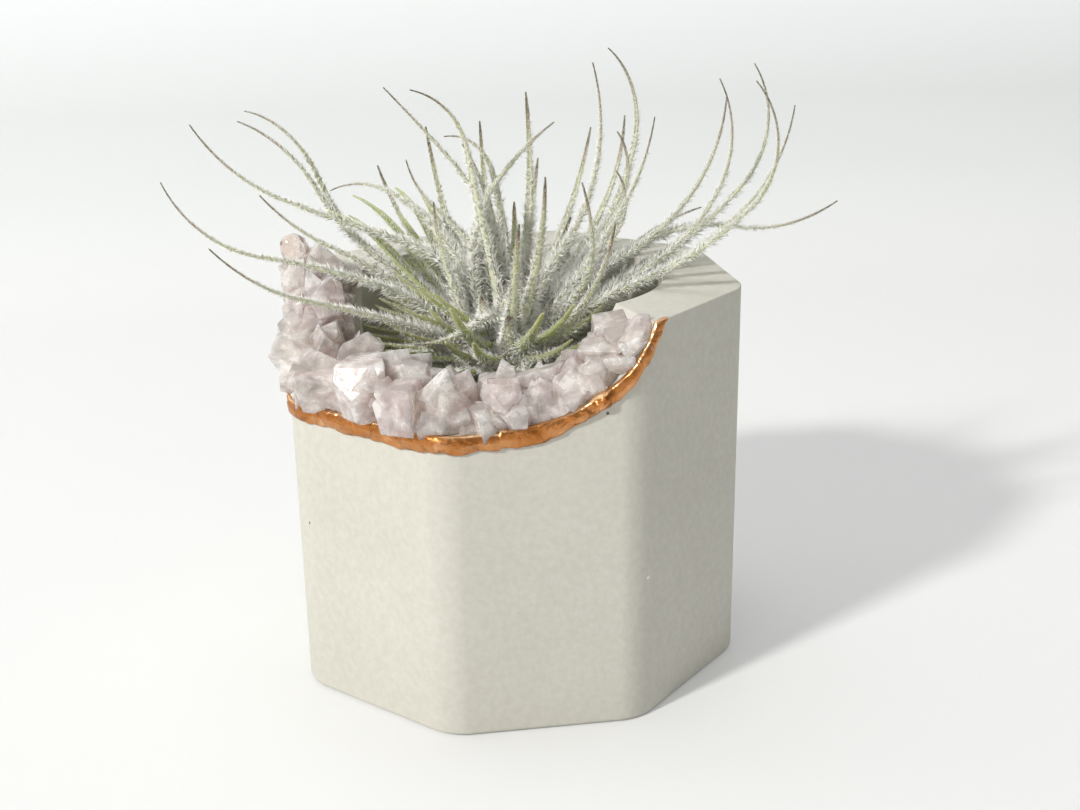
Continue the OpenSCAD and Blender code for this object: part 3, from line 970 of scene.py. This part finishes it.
def hairs_on(row, rng, count, broad):
    """Four corners for each hair of one leaf: three round its root, and its tip."""
    share = rng.uniform(0, HAIRS_TO, count * 3)
    share = share[rng.uniform(0, 1, len(share)) < np.interp(share, *HAIR_DENSE)][:count]
    turn = rng.uniform(0, 1, len(share))
    edge = rng.integers(0, 2, len(share)) * 0.5 + rng.normal(0, EDGE_SPREAD, len(share))
    turn = np.where(rng.uniform(0, 1, len(share)) < EDGE_HAIRS, edge, turn) % 1.0
    side, rise = section(share, turn, broad)
    out = slope_out(share, turn, side, rise, broad)

    def at(values):
        spot = share * LEAF_STEPS
        i = np.minimum(spot.astype(int), LEAF_STEPS - 1)
        part = (spot - i)[:, None]
        return values[i] * (1 - part) + values[i + 1] * part

    point, ahead, across, lift = (at(values) for values in leaf_path(row))
    root = point + across * side[:, None] + lift * rise[:, None]
    normal = across * out[:, :1] + lift * out[:, 1:]
    lean = np.radians(rng.uniform(*LEAN_DEGREES, len(share)))[:, None]
    way = normal * np.cos(lean) + ahead * np.sin(lean) + rng.normal(0, TOUSLED, root.shape)
    way /= np.linalg.norm(way, axis=1, keepdims=True)
    length = np.interp(share, *HAIR_LONG) * rng.uniform(*LENGTHS_VARY, len(share)) * MM
    first = np.cross(way, rng.normal(size=root.shape))
    first /= np.linalg.norm(first, axis=1, keepdims=True)
    second = np.cross(way, first)
    root = root - way * ROOT_DEPTH
    tip = root + way * length[:, None]
    thick = np.interp(share, *HAIR_THICK)[:, None] * MM
    corners = [root + thick * (first * math.cos(k * THIRD_TURN) + second * math.sin(k * THIRD_TURN))
               for k in range(3)]
    return np.stack([*corners, tip], 1)


def hair_coat(name, rows, number, per_mm=HAIRS_PER_MM, broad=1.0):
    """One piece with the white hairs of whole leaves, each a closed sliver."""
    rng = np.random.default_rng(FIRST_SEED + number)
    coats = [hairs_on(row, rng, int(per_mm * row[-1]), broad) for row in rows]
    points = np.concatenate(coats).reshape(-1, 3)
    root = np.arange(len(points) // 4)[:, None] * 4
    sliver = ([0, 2, 1], [0, 1, 3], [1, 2, 3], [2, 0, 3])
    faces = np.concatenate([root + face for face in sliver], 1).reshape(-1, 3)
    coat = mesh_piece(name, points, faces.reshape(-1).astype(np.int32),
                      (np.arange(len(faces)) * 3).astype(np.int32))
    coat.data.polygons.foreach_set("use_smooth", np.ones(len(faces), dtype=bool))
    return coat


# %% [markdown]
# ### Leaf and hair finishes
# A leaf is pale at its base, grey-green along its blade and dries brown at the tip, so a ramp on
# the X of its UV map colours it. Silver scales lie on it, thickest low down, and fine noise lets
# the green show between them. The hairs stay plain white: light that goes into such thin threads
# and out again makes them darker, not brighter.

# %% Leaf and hair finishes
def leaf_finish(name, *along_colours, silver):
    skin = Finish(name, Roughness=0.6, Specular_IOR_Level=0.25, Sheen_Weight=0.4, Sheen_Roughness=0.5,
                  Subsurface_Weight=0.5, Subsurface_Radius=(0.9, 1, 0.4), Subsurface_Scale=0.001)
    along = skin.part("UV", "X")
    patches = skin.ramp(skin.noise(70, 3, 0.5), (0.35, (0.9, 0.95, 0.8)), (0.65, 1))
    green = skin.mix(0.8, skin.ramp(along, *along_colours), patches, "MULTIPLY")
    scales = skin.noise(2600, 2, 0.6)
    fading = skin.ramp(along, (0.3, 1), (0.65, 0.62), (0.9, 0.25))
    scurf = skin.math("MULTIPLY", skin.ramp(scales, (0.43, 0), (0.58, silver)), fading)
    skin.set(Base_Color=skin.mix(scurf, green, (0.93, 0.93, 0.87)),
             Normal=skin.bump(scales, 0.0002, 0.5))
    return skin.material


leaf_skin = leaf_finish("leaf_skin", (0.0, (0.88, 0.90, 0.70)), (0.12, (0.76, 0.80, 0.54)),
                        (0.5, (0.60, 0.63, 0.42)), (0.8, (0.42, 0.41, 0.29)),
                        (0.87, (0.3, 0.22, 0.19)), (0.95, (0.1, 0.065, 0.06)), silver=0.75)
# painted shade: the shade leaves are a darker, duller olive with fewer silver scales, for the depth they sit
# in
shade_skin = leaf_finish("shade_leaf_skin", (0.0, (0.42, 0.45, 0.20)), (0.5, (0.42, 0.47, 0.17)),
                         (0.9, (0.50, 0.52, 0.28)), silver=0.3)
hair_skin = Finish("silver_hairs", Roughness=0.35, Specular_IOR_Level=0.8)
hair_skin.set(Base_Color=hair_skin.mix(hair_skin.noise(500, 2), (0.99, 0.985, 0.91), (1.0, 1.0, 0.95)))

# %% All leaves
for number, row in enumerate(LEAF_ROWS, 1):
    blade = leaf_blade("blade_%02d" % number, row)
    smooth(blade, 50)
    dress(blade, leaf_skin, "plant", "leaf_%02d" % number, slot="air_plant")
    dress(hair_coat("hairs_%02d" % number, [row], number), hair_skin.material, "plant", slot="air_plant")

# %% [markdown]
# ### Scales of the heart
# Where the leaves start, short broad leaves clasp the heart like the scales of a bud. They are
# leaves again, only shorter and broader, set out by the turn of 137.5 degrees that plants use, so
# that no scale lies right above another.

# %% Heart scales
GOLDEN = 137.5
HEART_SCALES = 30
HEART_BROAD = 1.7
HEART_HAIRS_PER_MM = 150


def merged(name, pieces):
    activate(pieces[0])
    for piece in pieces:
        piece.select_set(True)
    bpy.ops.object.join()
    return named(name)


# the scales' seats climb from below the heart's middle to near its top, and they stand up with it
heart_rows = []
for k in range(HEART_SCALES):
    share = k / (HEART_SCALES - 1)
    seat = -42 + 100 * share
    flare = 62 + seat * 0.72
    heart_rows.append([k * GOLDEN, k * GOLDEN + 5, seat, flare + 14, flare, flare + 6, flare - 14,
                       12.5 - 3.5 * share])
heart = merged("heart_scales", [leaf_blade("scale_%02d" % k, row, HEART_BROAD, 14, 12)
                                for k, row in enumerate(heart_rows)])
smooth(heart, 50)
dress(heart, leaf_skin, "plant", slot="air_plant")
dress(hair_coat("heart_hairs", heart_rows, 61, HEART_HAIRS_PER_MM, HEART_BROAD), hair_skin.material, "plant",
      slot="air_plant")

# %% [markdown]
# ### Leaves in the shade
# Between the long leaves the photograph shows no gaps, only green depth. It comes from younger and
# older leaves that one never sees whole, and their darker, duller olive is painted shade. Short ones
# all round the heart give it here, with more of them where the hollow opens at the left and a few
# longer ones at the back.

# %% Shade leaves
SHADE_LEAVES = 84
HOLLOW_LEAVES = 36
BACK_LEAVES = 9
SHADE_BROAD = 1.6
SHADE_HAIRS_PER_MM = 21
shade_rows = []
for k in range(SHADE_LEAVES):
    az = k * GOLDEN + 40
    seat = -36 + 12 * (k % 6)
    shade_rows.append([az, az + 10, seat, seat + 8, seat + 12, seat + 20, seat + 32, 14.5 + 0.8 * (k % 4)])
for k in range(HOLLOW_LEAVES):
    az = 140 + 2.4 * k
    climb = 2 + 9 * (k % 5)
    shade_rows.append([az, az - 5 + 5 * (k % 3), climb - 6, climb + 16, climb + 10, climb, climb + 10,
                       (17.6 if az < 186 else 15.8) + 0.5 * (k % 3)])
for k in range(BACK_LEAVES):
    az = 112 + 8 * k
    shade_rows.append([az, az - 6, 24 + 5 * (k % 3), 50, 46 + 4 * (k % 2), 52, 40 - 10 * (k % 3),
                       27 + 3 * (k % 3)])
under = merged("shade_leaves", [leaf_blade("shade_%02d" % k, row, SHADE_BROAD, 16, 12)
                                for k, row in enumerate(shade_rows)])
smooth(under, 50)
dress(under, shade_skin, "plant", slot="air_plant")
dress(hair_coat("shade_hairs", shade_rows, 62, SHADE_HAIRS_PER_MM), hair_skin.material, "plant",
      slot="air_plant")

# %% [markdown]
# ### Stem
# Below the heart the old leaves have dried to brown papery sheaths round a short stem. The stem is
# a tube with the ridges of wrapped leaves, and the sheaths are small leaves that stand up round it.

# %% Stem with dry sheaths
STEM_LOW, STEM_HIGH = 14.3 * MM, 50 * MM
STEM_PROFILE = ([0, 0.03, 0.75, 0.9, 1], [1.6, 3.1, 4.6, 6.8, 3])
SHEATHS, SHEATH_BROAD = 22, 1.5


def stem_place(share, turn):
    r = np.interp(share, *STEM_PROFILE) * MM
    wrapped = (share * 7 + turn) % 1.0
    az = turn * 2 * math.pi
    r = r * (1 + 0.1 * wrapped + 0.035 * np.sin(az * 9 + 14 * share))
    return np.stack([r * np.cos(az), r * np.sin(az), STEM_LOW + (STEM_HIGH - STEM_LOW) * share], 1)


papery = [closed_tube("stem_core", 90, 48, stem_place)]
for k in range(SHEATHS):
    share = k / (SHEATHS - 1)
    az = k * GOLDEN
    stem_r = (3.4 + 1.6 * share) * MM
    papery.append(leaf_blade("sheath_%02d" % k, [az, az + 14, 0, 80, 74, 66, 84, 9],
                             SHEATH_BROAD, 12, 12))
    move = compass(math.radians(az)) * (stem_r - HEART_R)
    bpy.ops.transform.translate(value=(*move, STEM_LOW + (2 + 24 * share) * MM - HEART_Z))
    settle(papery[-1])
stem = merged("dry_stem", papery)
smooth(stem, 50)

# %% Dry sheath finish
dry = Finish("dry_sheath", Roughness=0.75, Specular_IOR_Level=0.2)
fibres = dry.noise(900, 4, 0.6)
straw = dry.ramp(dry.part("Object", "Z"), (0.014, (0.20, 0.13, 0.07)), (0.034, (0.36, 0.26, 0.15)),
                 (0.048, (0.50, 0.45, 0.30)))
dry.set(Base_Color=dry.mix(dry.ramp(fibres, (0.35, 0), (0.7, 0.7)), straw, (0.62, 0.52, 0.36)),
        Normal=dry.bump(fibres, 0.0003, 0.6))
dress(stem, dry.material, "plant", "plant_stem", slot="dry_sheath")

# %% [markdown]
# ## Pebble
# One small tumbled pebble, clearer than the chips, lies on top of the heap at the left. A ball
# alone would look like glass, so noise dents it, and it is stretched to the size of the CAD one.

# %% Pebble
PEBBLE_SHARE = 0.78
PEBBLE_DENTS = 0.09
PEBBLE_SUNK = 1.5 * MM
(pebble_at, pebble_size), = solids_of("quartz_pebble")
deselect()
bpy.ops.mesh.primitive_ico_sphere_add(subdivisions=4, radius=0.5)
pebble = named("tumbled_pebble")
corners = corners_of(pebble)
corners *= 1 + PEBBLE_DENTS * rough(corners, 2.2, 12, 2)[:, None]
corners = corners / np.ptp(corners, axis=0) * pebble_size * PEBBLE_SHARE
place_corners(pebble, corners + pebble_at - np.array([0, 0, PEBBLE_SUNK]))
smooth(pebble, 60)
smoky = Finish("smoky_pebble", Roughness=0.04, IOR=1.5, Specular_IOR_Level=0.6, Transmission_Weight=0.85)
smoky.set(Base_Color=smoky.ramp(smoky.noise(300, 3), (0.35, (0.88, 0.77, 0.71)), (0.65, (0.95, 0.88, 0.84))))
dress(pebble, smoky.material, "pot", "quartz_pebble", slot="rose_pebble")

# %% Leave nothing selected
deselect()
